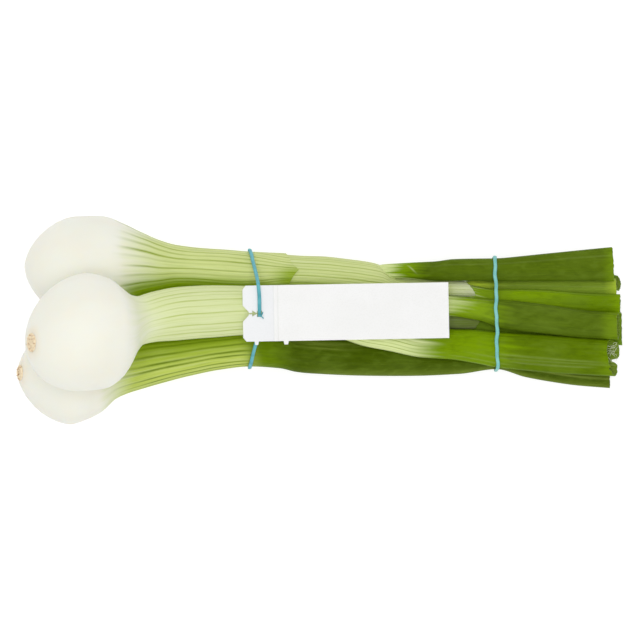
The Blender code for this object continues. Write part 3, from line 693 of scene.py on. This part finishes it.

# For each leaf: where its skin turns from lined stem to leaf, where the leaf turns dark, its
# creases as (degrees, height), its lines of painted highlight and waxy bloom as (degrees, share, from,
# to), and a seed.
HABITS = {
    "onion_a_leaf_1": dict(
        leafy=(31, 42), late=16, fine=(42, 50), dark=(42, 58), creases=[(150, 0.1)], seed=101,
        lines=[(60, 0.1, 50, 150)],
    ),
    "onion_a_leaf_2": dict(
        leafy=(66, 76), dark=(74, 92), creases=[(100, 0.12)], seed=111,
        lines=[(35, 0.3, 74, 150), (80, 0.15, 80, 150)],
    ),
    "onion_a_leaf_3": dict(
        leafy=(68, 80), dark=(100, 140), creases=[(40, 0.15)], seed=121, lines=[(30, 0.2, 78, 150)],
    ),
    "onion_a_leaf_4": dict(
        leafy=(30, 44), dark=(40, 60), creases=[(90, 0.15)], seed=131, lines=[(90, 0.15, 50, 150)],
    ),
    "onion_b_leaf_1": dict(
        leafy=(56, 74), late=-8, dark=(76, 98), creases=[(35, 0.15)], seed=141,
        lines=[(30, 0.6, 60, 92), (48, 0.35, 62, 86)],
    ),
    "onion_b_leaf_2": dict(
        leafy=(40, 62), dark=(84, 104), creases=[(112, 0.2), (60, -0.1)], seed=151,
        lines=[(106, 0.2, 84, 146), (116, 0.15, 70, 150), (128, 0.25, 92, 140), (140, 0.2, 60, 100)],
    ),
    "onion_b_leaf_3": dict(
        leafy=(30, 60), dark=(80, 120), creases=[(90, 0.15)], seed=161, lines=[(60, 0.3, 60, 150)],
    ),
    "onion_c_leaf_2": dict(
        leafy=(-36, -20), dark=(-20, 0), creases=[(90, 0.15)], seed=171, lines=[(90, 0.3, 0, 150)],
    ),
}


def nick(x, angle):
    """A short slanted scratch near the base of the first leaf."""
    along, turned = NICK_PLACE
    off = np.degrees(angle) - turned - NICK_SLANT * (x - along)
    return patch(x, angle, NICK_PLACE, NICK_SIZE) * np.exp(-((off / NICK_WIDTH) ** 2))


def leaf(name, look, slot):
    """A hollow leaf, from inside its sheath to its ragged, open cut end."""
    stations, habit = LEAVES[name], HABITS[name]
    course, seed = Course(stations), habit["seed"]
    start, end = stations[0][0], stations[-1][0]
    angles, rib, arch = vein_columns(24, seed, 0.05)
    places = spaced(start, end, 1.6)
    if "fine" in habit:
        places = np.unique(np.concatenate([places, spaced(*habit["fine"], 0.3)]))
    lean = reaches(CUT_ENDS[name], angles, seed, 0.22)
    x = places[:, None] + lean * ease(end - 18, end, places)[:, None]
    angle = angles + 0.04 * waves(seed, 4, 50, 2)(x, angles)
    grow = 0.03 * arch - 0.02 * rib + 0.08 * (waves(seed + 1, 6, 60, 3)(x, angle) - 0.5)
    grow = grow + crease_relief(angle, x, habit["creases"])
    late = habit.get("late", 0) * facing(angle, 200, 0.3)
    streaks = 3 * waves(seed + 2, 4, 60, 5)(x, angle) + 9 * waves(seed + 4, 6, 240, 19)(x, angle)
    leafy = ease(*habit["leafy"], x - late + streaks)
    light = 0.0 * x
    # Painted highlight lines along the leaf, in part its waxy bloom; the scratch below is a real mark.
    for degrees, share, low, high in habit["lines"]:
        middle = math.radians(degrees + 2 * math.sin(seed + x.mean())) + 0.02 * np.sin(x / 17 + degrees)
        off = away(angle, middle)
        reach = ease(low, low + 10, x) * ease(high, high - 10, x)
        light = np.maximum(light, share * reach * np.exp(-((off / 0.055) ** 2)))
    if name == "onion_a_leaf_1":
        light = np.maximum(light, nick(x, angle))
    dark = ease(*habit["dark"], x + streaks) * (1 - 0.5 * ease(end - 7, end, x))
    paint = painted(x, green=1.0, vein=rib * (1 - leafy), leaf=leafy, light=light, dark=dark)
    shape = Shape()
    shape.tube(*open_end(course, x, angle, grow, places, paint))
    return piece(shape.made(name.replace("onion_", "") + "_skin", look), slot, name)


INSIDE = CHANNELS.index("inside")


def open_end(course, x, angle, grow, places, paint):
    """The outer wall, the cut rim and the inner wall of a hollow leaf as one run of rows."""
    grids, along, paints = [loft(course, x, angle, grow)], [places], [paint]
    inner = paint[-1:].copy()
    steps = [(0.12, LEAF_WALL * 0.5), (0.0, LEAF_WALL), (-1.2, LEAF_WALL), (-4, LEAF_WALL)]
    steps += [(-8, LEAF_WALL), (-12, LEAF_WALL + 0.2)]
    # Each ring further into the hollow takes more of the dark inside green: painted shade.
    for k, (shift, wall) in enumerate(steps):
        grids.append(loft(course, x[-1:] + shift, angle[-1:], grow[-1:] - wall))
        inner = inner.copy()
        inner[..., INSIDE] = min(1.0, 0.4 + 0.3 * k)
        along.append([places[-1] + wall + abs(shift)])
        paints.append(inner)
    return np.concatenate(grids), np.concatenate(along), np.concatenate(paints)


def strand(shape, path, radii, paint, sides=7):
    """A thin solid strand along a path of points."""
    path = np.array(path, float)
    along = unit(np.gradient(path, axis=0))
    side = unit(np.cross(along, np.array((0.31, 0.52, 0.79))))
    up = np.cross(along, side)
    turn = np.arange(sides) * math.tau / sides
    ring = side[:, None] * np.cos(turn)[:, None] + up[:, None] * np.sin(turn)[:, None]
    grid = path[:, None] + ring * np.array(radii)[:, None, None]
    shape.tube(grid, np.linspace(0, 10, len(path)), painted(grid[..., 0], **paint))


def roots(letter, look, seed):
    """A trimmed root plate: a rough low pad with short cut roots."""
    cap = bulb_stations(BULBS[letter], 8)
    root, side, up, size, _ = Course(cap).at(cap[0][0])
    place = np.eye(4)
    place[:3, :4] = np.stack([up, side, np.cross(up, side), root], -1)
    draw = Random(seed)
    shape = Shape()
    columns = 60
    turns = np.arange(columns) * math.tau / columns
    rings = [(0.95, -0.6), (1.0, 0.0), (0.97, 0.35), (0.86, 0.6), (0.7, 0.75)]
    rings += [(0.53, 0.8), (0.33, 0.8), (0.14, 0.85)]
    grid = []
    for share, height in rings:
        rough = np.array([draw.uniform(-0.12, 0.12) for _ in turns]) * (height > 0)
        radius = share * size
        ring = [radius * np.cos(turns), radius * np.sin(turns), height + rough]
        grid.append(np.stack(ring, -1))
    grid = moved(place, np.array(grid))
    shape.tube(grid, np.arange(len(rings)), painted(grid[..., 0], green=0.3))
    for _ in range(60):
        spread, way = math.sqrt(draw.uniform(0.0, 1)) * size * 0.86, draw.uniform(0, math.tau)
        base = np.array((spread * math.cos(way), spread * math.sin(way), 0.5))
        tilt = draw.uniform(0.1, 0.5) * spread / size
        aim = np.array((math.cos(way) * tilt, math.sin(way) * tilt, 1.0))
        reach = draw.uniform(0.3, 0.7) - 0.05 * spread
        bend = np.array((draw.uniform(-0.2, 0.2), draw.uniform(-0.2, 0.2), 0))
        path = [base + aim * reach * t + bend * t * t for t in np.linspace(0, 1, 4)]
        shade = dict(green=draw.uniform(0, 0.8), vein=draw.choice((0, 0, 0, 1.0)))
        radii = draw.uniform(0.1, 0.24) * np.array((1.1, 1, 0.95, 0.7))
        strand(shape, moved(place, np.array(path)), radii, shade)
    return piece(shape.made(f"{letter}_root_plate", look), "root_brown", f"onion_{letter}_roots")


def moved(matrix, points):
    """Points moved by a 4 by 4 matrix."""
    return points @ matrix[:3, :3].T + matrix[:3, 3]


def section(course, x):
    """(y, z, half width, half height) of a course at x."""
    centre, _, _, wide, high = course.at(x)
    return centre[1], centre[2], float(wide), float(high)


def hull(points):
    """The convex outline of (y, z) points, anticlockwise."""
    points = sorted(set(points))

    def chain(ordered):
        kept = []
        for p in ordered:
            while len(kept) > 1:
                (ay, az), (by, bz) = kept[-2], kept[-1]
                if (by - ay) * (p[1] - az) - (bz - az) * (p[0] - ay) > 1e-9:
                    break
                kept.pop()
            kept.append(p)
        return kept

    return chain(points)[:-1] + chain(reversed(points))[:-1]


def around(sections, clear):
    """Points round each section, clear of it by the given distance."""
    points = []
    for y, z, wide, high in sections:
        for i in range(32):
            angle = math.tau * i / 32
            point = y + (wide + clear) * math.cos(angle), z + (high + clear) * math.sin(angle)
            points.append((round(point[0], 4), round(point[1], 4)))
    return points


def first_band_loop(courses):
    """Round the three stems, over the label's upper lobe and down through its slot."""
    clear = TOUCH + BAND_THICK / 2
    sections = []
    for name, x, step in STEM_BAND_STOPS:
        y, z, wide, high = section(courses[name], x)
        sections.append((y, z, wide + step, high + step))
    under = LABEL_START.z + LABEL_SLOPE * (BAND_1_X - LABEL_START.x)
    over = under + LABEL_THICK + clear + 0.3
    lobe = [(LABEL_DROP_Y + LABEL_HALF_HEIGHT + 0.6, over), (LABEL_DROP_Y + 1.4, over)]
    plain = hull(around(sections, clear + 0.1))
    loop = hull(around(sections, clear + 0.1) + lobe)
    turn = loop.index(lobe[1])
    loop = loop[turn + 1 :] + loop[: turn + 1]
    low = under - clear
    bend = [(LABEL_DROP_Y + 0.55, over - 0.5), (LABEL_DROP_Y + 0.1, over - 1.5)]
    bend += [(LABEL_DROP_Y - 0.4, low + 0.4), (LABEL_DROP_Y - 1.2, low)]
    middle = courses["b"].at(BAND_1_X)[0][2]
    held = [p for p in plain if loop[0][0] < p[0] < bend[-1][0] - 1.5 and p[1] > middle]
    return loop + bend + sorted(held, reverse=True)


def first_band_x(y, z):
    """The first band bows towards +X over the top of the bunch."""
    bow = np.exp(-((np.abs(y - 6) / 23) ** 3)) * np.clip((z - 20) / 8, 0, 1)
    return BAND_1_LOW_X + (BAND_1_X - BAND_1_LOW_X) * bow


def second_band_x(y, z):
    """The second band runs slightly askew and in small waves."""
    return BAND_2_X - 0.02 * y + 0.22 * np.sin(y / 2.9 + z / 9) + 0.15 * np.sin(y / 1.3)


def resampled(points, spacing):
    """The closed loop at even spacing."""
    ends = np.vstack([points, points[:1]])
    walked = np.concatenate([[0], np.cumsum(np.linalg.norm(np.diff(ends, axis=0), axis=1))])
    stops = np.linspace(0, walked[-1], math.ceil(walked[-1] / spacing), endpoint=False)
    return np.stack([np.interp(stops, walked, ends[:, k]) for k in (0, 1)], -1)


def rounded(loop, spacing):
    """The closed loop at even spacing, with its corners softened."""
    points = resampled(np.array(loop, float), 1.3)
    for _ in range(2):
        after = np.roll(points, -1, axis=0)
        points = np.stack([0.75 * points + 0.25 * after, 0.25 * points + 0.75 * after], 1).reshape(-1, 2)
    return resampled(points, spacing)


def rubber_band(name, node, loop, x_at, look, slot, seed, twist=()):
    """A stretched rubber band of nearly even section along a closed (y, z) loop, and its twisted ends."""
    points = rounded(loop, BAND_SPACING)
    y, z = points.T
    path = np.stack([x_at(y, z), y, z], -1)
    along = unit(np.roll(path, -1, axis=0) - np.roll(path, 1, axis=0))
    out = unit(np.stack([0 * y, along[:, 2], -along[:, 1]], -1))
    side = np.cross(along, out)
    turns = np.arange(14) * math.tau / 14
    flat = lambda values: np.sign(values) * np.abs(values) ** 0.7
    swell = 1 + 0.05 * waves(seed, 4, 30, 2)(np.arange(len(y)), 0)
    wide = side[:, None] * (flat(np.cos(turns)) * BAND_WIDTH / 2)[None, :, None]
    thick = out[:, None] * (flat(np.sin(turns)) * BAND_THICK / 2)[None, :, None]
    grid = path[:, None] + (wide + thick) * swell[:, None, None]
    shape = Shape()
    edge = painted(grid[..., 0], green=np.abs(np.cos(turns)) ** 3)
    shape.tube(grid, np.arange(len(y)) * BAND_SPACING, edge)
    shape.faces = shape.faces[:-2]
    closing_faces(shape, *grid.shape[:2])
    for path in twist:
        strand(shape, path, np.full(len(path), 0.26), dict(green=0.9), 8)
    return piece(shape.made(name, look), slot, node)


def closing_faces(shape, rows, columns):
    """Joins the last ring to the first in place of the two end caps."""
    shape.uvs = shape.uvs[:-2]
    last = np.arange(columns) + (rows - 1) * columns
    first = np.arange(columns)
    quads = np.stack([last, np.roll(last, -1), np.roll(first, -1), first], -1)
    shape.faces += quads.tolist()
    shape.uvs.append(np.zeros((4 * columns, 2)))


def label_matrix():
    """From the label's own plane, x along it and y across it, to its place on the stems."""
    slope = Matrix.Rotation(-math.atan(LABEL_SLOPE), 4, "Y")
    return Matrix.Translation(LABEL_START) @ Matrix.Rotation(LABEL_TURN, 4, "Z") @ slope


def label_outline():
    """The card's edge: two lobes with a slit and a slot at the left, and two nibs below."""
    half = LABEL_HALF_HEIGHT
    arrow = [(3.0, 0.35), (4.7, 0.35), (4.7, 1.5), (6.6, 0.35), (7.05, 0.35)]
    notch = [(0.0, -4.0), (2.9, -0.9)] + [(x, -y) for x, y in arrow]
    notch += [(7.05, -1.7), (9.6, -1.7), (9.6, 1.3), (7.05, 1.3)]
    notch += arrow[::-1] + [(2.9, 0.9), (0.0, 4.0)]
    top = [(0.0, half - 2), (1.6, half), (LABEL_LENGTH, half), (LABEL_LENGTH, -half)]
    nibs = [(22.8, -half), (22.4, -half - 1.7), (20.6, -half - 1.7), (20.2, -half)]
    nibs += [(7.8, -half), (7.4, -half - 1.7), (6.0, -half - 1.7), (5.6, -half)]
    return notch + top + nibs + [(1.6, -half), (0.0, 2 - half)]


# The card's two fold lines, how wide and deep they are, its waves, its thickness and its lift.
FOLDS = (15.4, 17.6)
FOLD_HALF = 0.45
FOLD_DEPTH = 0.12
CARD_WAVE = 0.1
CARD_THICK = 0.42
CARD_LIFT = 0.16


def label(look):
    """The blank card, with two fold lines across its left end and slight waves along it."""
    mesh = bmesh.new()
    mesh.faces.new([mesh.verts.new((x, y, 0)) for x, y in label_outline()])
    cuts = [fold + off for fold in FOLDS for off in (-FOLD_HALF, 0.0, FOLD_HALF)]
    for x in cuts + np.arange(22, LABEL_LENGTH, 4).tolist():
        everything = mesh.verts[:] + mesh.edges[:] + mesh.faces[:]
        bmesh.ops.bisect_plane(mesh, geom=everything, plane_co=(x, 0, 0), plane_no=(1, 0, 0))
    crease = mesh.verts.layers.float_color.new("paint")
    for vert in mesh.verts:
        fold = min(abs(vert.co.x - f) for f in FOLDS)
        share = max(0.0, 1 - fold / FOLD_HALF)
        vert[crease] = (0.0, share, float(vert.co.x < FOLDS[0]), 0.0)
        vert.co.z = -FOLD_DEPTH * share - CARD_WAVE * (1 - math.cos(vert.co.x / 9))
    grown = bmesh.ops.extrude_face_region(mesh, geom=mesh.faces[:])
    lifted = [item for item in grown["geom"] if isinstance(item, bmesh.types.BMVert)]
    bmesh.ops.translate(mesh, verts=lifted, vec=(0, 0, CARD_THICK))
    for face in mesh.faces:
        face.normal_update()
    bmesh.ops.translate(mesh, verts=mesh.verts, vec=(0, 0, CARD_LIFT))
    bmesh.ops.triangulate(mesh, faces=[f for f in mesh.faces if len(f.verts) > 4])
    bmesh.ops.transform(mesh, matrix=label_matrix(), verts=mesh.verts)
    data = bpy.data.meshes.new("card")
    mesh.to_mesh(data)
    mesh.free()
    data.transform(Matrix.Scale(MM, 4))
    data.materials.append(look)
    return piece(finished("card", data, 20), "white_card", "card_label")


def pith(look):
    """Torn white pith strands across the open end of the middle onion's widest leaf."""
    draw = Random(77)
    course = Course(LEAVES["onion_b_leaf_2"])
    shape = Shape()
    for _ in range(18):
        start = math.radians(draw.uniform(266, 330))
        end = start + draw.uniform(-0.5, 0.5)
        x0, x1 = draw.uniform(142.5, 149), draw.uniform(143, 149.5)
        a = loft(course, np.array([[x0]]), np.array([[start]]), np.array([[-0.9]]))[0, 0]
        b = loft(course, np.array([[x1]]), np.array([[end]]), np.array([[-0.9]]))[0, 0]
        lift = np.array((draw.uniform(-0.8, 0.8), draw.uniform(-1, 1), draw.uniform(0.3, 2.2)))
        path = [a + (b - a) * t + lift * math.sin(math.pi * t) for t in np.linspace(0, 1, 9)]
        strand(shape, path, np.full(9, draw.uniform(0.06, 0.11)), {}, 6)
    return piece(shape.made("b_leaf_2_pith", look), "onion_white")


# The floor and the camera, in metres, and its sensor in mm: at VIEW_DISTANCE it sees VIEW_WIDTH.
FLOOR_HALF = 6.0
FLOOR_DROP = 0.0004
CAMERA_HEIGHT = 2.53
VIEW_DISTANCE = 2.5
VIEW_WIDTH = 0.32
SENSOR = 36


def lamp(name, place, size, power, mirrored=True):
    """A large soft lamp aimed at the middle of the bunch; mirrored says if a gloss shows it."""
    data = bpy.data.lights.new(name, "AREA")
    data.shape = "RECTANGLE"
    data.size, data.size_y = size
    data.energy = power
    made = linked(name, data)
    made.location = place
    made.rotation_euler = (Vector((0, 0, 0.03)) - Vector(place)).to_track_quat("-Z", "Y").to_euler()
    made.visible_glossy = mirrored


def studio():
    """A white floor, an even sky, four soft lamps, and the camera straight above."""
    data = bpy.data.meshes.new("floor")
    corners = [(FLOOR_HALF * x, FLOOR_HALF * y, 0) for x, y in ((-1, -1), (1, -1), (1, 1), (-1, 1))]
    data.from_pydata(corners, [], [(0, 1, 2, 3)])
    floor = linked("floor", data)
    floor.location.z = -FLOOR_DROP
    look = Look("floor_white", 0.9, Specular_IOR_Level=0.0, Emission_Strength=0.76)
    look.shader.inputs["Emission Color"].default_value = (1, 1, 1, 1)
    cloud = look.noise(look.place("Object", 2, 2, 2))
    look.colour(look.mix(cloud, srgb(158, 158, 158), srgb(162, 162, 162)))
    data.materials.append(look.material)
    world = bpy.data.worlds.new("studio")
    world.use_nodes = True
    sky = world.node_tree.nodes["Background"].inputs
    sky["Color"].default_value = (1, 1, 1, 1)
    sky["Strength"].default_value = 0.52
    scene = bpy.context.scene
    scene.world = world
    scene.view_settings.view_transform = "Standard"
    lamp("lamp_back", (-0.5, 1.3, 1.3), (1.6, 0.7), 5.5)
    lamp("lamp_front", (0.5, -1.3, 1.4), (1.6, 0.7), 5.5)
    lamp("lamp_top", (0.0, 0.0, 2.2), (1.0, 1.0), 18, False)
    lamp("lamp_left", (-1.5, -0.7, 0.8), (1.2, 0.7), 1.6, False)
    view = bpy.data.cameras.new("camera")
    view.sensor_width = SENSOR
    view.lens = SENSOR * VIEW_DISTANCE / VIEW_WIDTH
    view.clip_end = 50
    camera = linked("camera", view)
    camera.location = (0, 0, CAMERA_HEIGHT)
    scene.camera = camera


def main():
    studio()
    # The inside green is painted dark for the shade inside the hollow leaves.
    green = dict(bloom=srgb(112, 136, 44), inside=srgb(96, 122, 14))
    pale = srgb(208, 218, 146)
    stem = dict(pale=pale, deep=srgb(138, 166, 4), vein=srgb(132, 152, 40), bright=pale, dark=pale)
    onion_a(plant_look("skin_a", **stem, **green))
    lighter = dict(stem, pale=srgb(206, 216, 148), deep=srgb(140, 166, 30), vein=srgb(150, 168, 72))
    stem_a(plant_look("skin_inner", **lighter, **green))
    faint = dict(stem, pale=srgb(216, 225, 168), deep=srgb(150, 178, 60), vein=srgb(172, 188, 98))
    onion_b(plant_look("skin_b", **faint, **green))
    # The inner sheath's colours are painted darker than its skin: painted shade for the gap between the
    # upper leaves.
    shade = dict(stem, pale=srgb(110, 126, 44), deep=srgb(86, 108, 20), vein=srgb(142, 156, 88))
    core_b(plant_look("skin_core", **shade, **green))
    strong = dict(stem, pale=srgb(188, 204, 94), deep=srgb(136, 162, 10), vein=srgb(80, 106, 4))
    strong.update(bright=srgb(102, 130, 0), dark=srgb(70, 90, 0))
    onion_c(plant_look("skin_c", **strong, **green))
    colours = {
        "onion_a_leaf_1": ("leaf_dark", (124, 158, 2), (84, 106, 12)),
        # This leaf is painted lighter than its own green, to offset the shade it lies in under the first
        # leaf: painted light.
        "onion_a_leaf_2": ("leaf_mid", (214, 240, 70), (126, 152, 44)),
        "onion_a_leaf_3": ("leaf_bright", (130, 164, 2), (106, 136, 4)),
        "onion_a_leaf_4": ("leaf_dark", (110, 146, 20), (76, 102, 14)),
        "onion_b_leaf_1": ("leaf_mid", (128, 160, 12), (84, 106, 16)),
        "onion_b_leaf_2": ("leaf_bright", (118, 150, 0), (92, 118, 0)),
        "onion_b_leaf_3": ("leaf_mid", (118, 150, 30), (98, 130, 22)),
        "onion_c_leaf_2": ("leaf_mid", (112, 150, 18), (80, 106, 16)),
    }
    for name, (slot, bright, dark) in colours.items():
        tones = dict(stem, bright=srgb(*bright), dark=srgb(*dark), pale=srgb(216, 228, 160))
        leaf(name, plant_look(name.replace("onion_", "skin_"), **tones, **green), slot)
    brown = root_look("root_dry", srgb(241, 229, 200), srgb(150, 88, 38), srgb(238, 206, 160))
    for seed, letter in enumerate("abc"):
        roots(letter, brown, seed)
    stems = {"a": Course(STEM_A), "b": Course(STEM_B), "c": Course(STEM_C)}
    teal = rubber_look("band_teal", srgb(106, 182, 192), srgb(66, 148, 160))
    light_teal = rubber_look("band_light_teal", srgb(134, 199, 193), srgb(100, 172, 170))
    twist = [[(-30.6, 3.4, 51.1), (-29.4, 2.2, 51.3), (-28.0, 0.8, 50.9)],
             [(-29.6, 1.6, 51.0), (-28.9, 2.5, 51.3), (-28.3, 3.8, 50.9)]]
    loop = first_band_loop(stems)
    rubber_band("first_band", "stem_band", loop, first_band_x, teal, "band_teal", 5, twist)
    edges = (BAND_2_X - BAND_WIDTH, BAND_2_X + BAND_WIDTH)
    courses = [Course(stations) for stations in [*LEAVES.values(), LEAF_C_1]]
    cut = [section(c, e) for c in courses for e in edges]
    loop = hull(around(cut, TOUCH + BAND_THICK / 2))
    rubber_band("second_band", "leaf_band", loop, second_band_x, light_teal, "band_light_teal", 6)
    label(card_look("card_white", srgb(240, 240, 239), srgb(212, 212, 206)))
    pith(root_look("pith_white", srgb(226, 232, 200), srgb(190, 204, 140), srgb(236, 240, 222)))


main()
